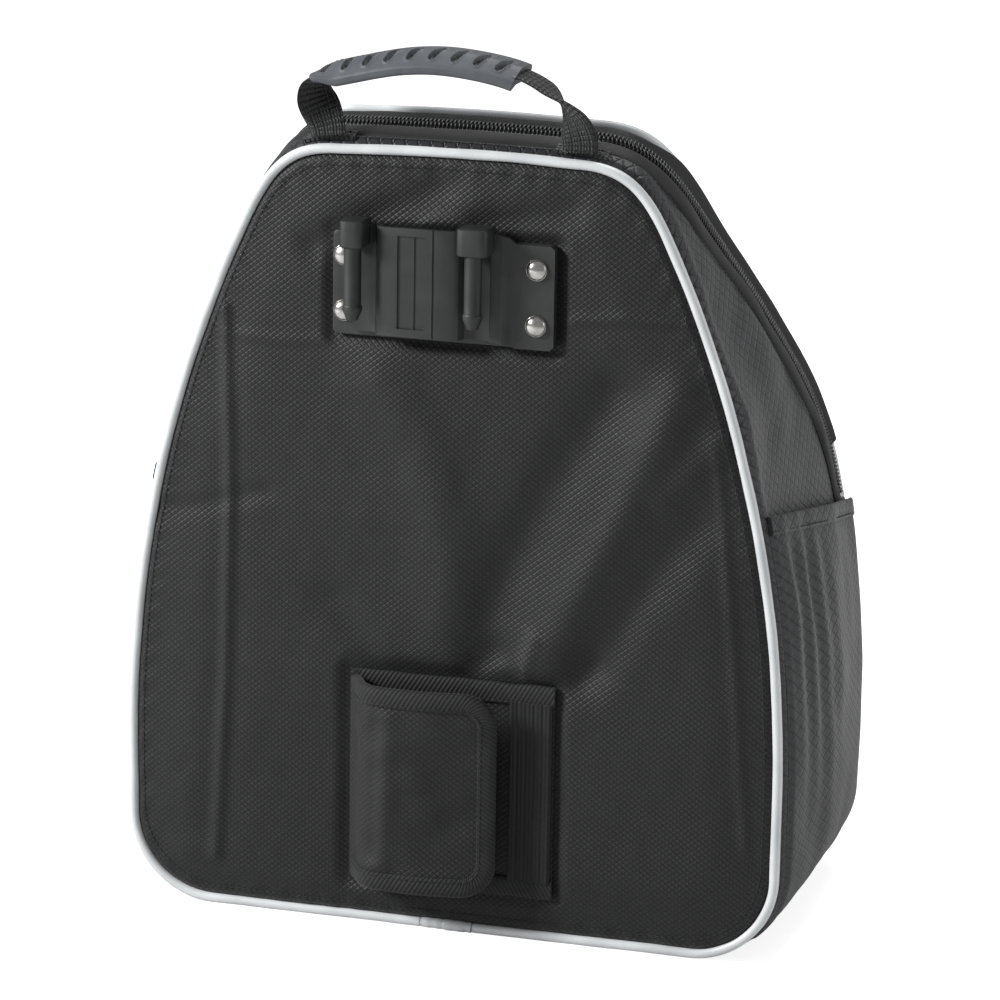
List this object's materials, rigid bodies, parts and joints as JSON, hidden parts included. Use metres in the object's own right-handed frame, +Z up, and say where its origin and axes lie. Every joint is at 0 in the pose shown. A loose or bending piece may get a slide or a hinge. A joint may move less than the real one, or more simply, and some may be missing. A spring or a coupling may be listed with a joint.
{
  "type": "skate bag",
  "caption": "Wedge-shaped soft case for skates with a zipped sloping lid, side pockets, carry handle, rail hook bracket and strap wrap.",
  "frame": {"origin": "on the floor under the middle of the base", "axes": "+Z up, front faces -Y, +X to the right of someone facing the front"},
  "size_m": [0.365, 0.2055, 0.4532],
  "materials": {
    "front_fabric": "fine ripstop",
    "side_fabric": "diamond ripstop",
    "binding": "ribbed tape",
    "webbing": "woven",
    "zip_tape": "herringbone tape",
    "zip_coil": "satin",
    "piping": "satin",
    "board": "matte",
    "foam": "matte",
    "moulded": "satin",
    "grip_rubber": "matte",
    "nickel": "polished"
  },
  "bodies": {
    "bag": {"front_panel": "front_fabric", "front_board": "board", "front_piping": "piping", "front_piping_join": "piping", "gusset_base": "side_fabric", "gusset_right": "side_fabric", "gusset_left": "side_fabric", "gusset_top": "side_fabric", "gusset_welt": "binding", "base_board": "board", "rear_panel": "front_fabric", "rear_piping": "piping", "zip_tape_body": "zip_tape", "zip_chain_body": "zip_coil", "zip_tail_right": "zip_coil", "zip_tail_left": "zip_coil", "zip_stop_right": "nickel", "zip_stop_left": "nickel", "side_pocket_right": "side_fabric", "side_pocket_left": "side_fabric", "pocket_hem_right": "binding", "pocket_hem_left": "binding", "bracket_plate": "moulded", "clip_bracket": "moulded", "bracket_backing": "board", "rivet_1": "nickel", "rivet_2": "nickel", "rivet_3": "nickel", "rivet_4": "nickel", "rivet_washer_1": "nickel", "rivet_washer_2": "nickel", "rivet_washer_3": "nickel", "rivet_washer_4": "nickel", "wrap_base": "front_fabric", "wrap_binding_top": "binding", "wrap_binding_bottom": "binding", "wrap_loop_webbing": "webbing", "handle_anchor_left": "webbing", "handle_anchor_right": "webbing"},
    "lid": {"lid_panel": "front_fabric", "lid_foam": "foam", "lid_piping": "piping", "zip_tape_lid": "zip_tape", "zip_chain_lid": "zip_coil"},
    "slider": {"zip_slider": "nickel"},
    "pull": {"zip_pull": "nickel"},
    "flap": {"wrap_flap": "front_fabric", "wrap_flap_binding": "binding", "wrap_hook_patch": "webbing"},
    "handle": {"handle_webbing": "webbing", "handle_grip": "grip_rubber"}
  },
  "joints": [
    {"name": "lid_hinge", "type": "hinge", "parent": "bag", "child": "lid", "pos_m": [0, 0.09595, 0.23219], "axis": [-1, 0, 0], "range_deg": [0, 115]},
    {"name": "zip_slider_run", "type": "hinge", "parent": "bag", "child": "slider", "pos_m": [-0.14447, -0.03696, 0.19288], "axis": [0.9722, 0.1625, -0.1687], "range_deg": [0, 23]},
    {"name": "zip_pull_swing", "type": "hinge", "parent": "slider", "child": "pull", "pos_m": [-0.16678, 0.08483, 0.21613], "axis": [0.0288, 0.9889, 0.1459], "range_deg": [0, 150]},
    {"name": "wrap_flap_open", "type": "hinge", "parent": "bag", "child": "flap", "pos_m": [-0.0499, -0.0833, 0.08], "axis": [0, 0, -1], "range_deg": [0, 110]},
    {"name": "handle_swing", "type": "hinge", "parent": "bag", "child": "handle", "pos_m": [0, -0.0765, 0.407], "axis": [1, 0, 0], "range_deg": [-38, 110], "stiffness_Nm_per_rad": 0.06}
  ]
}
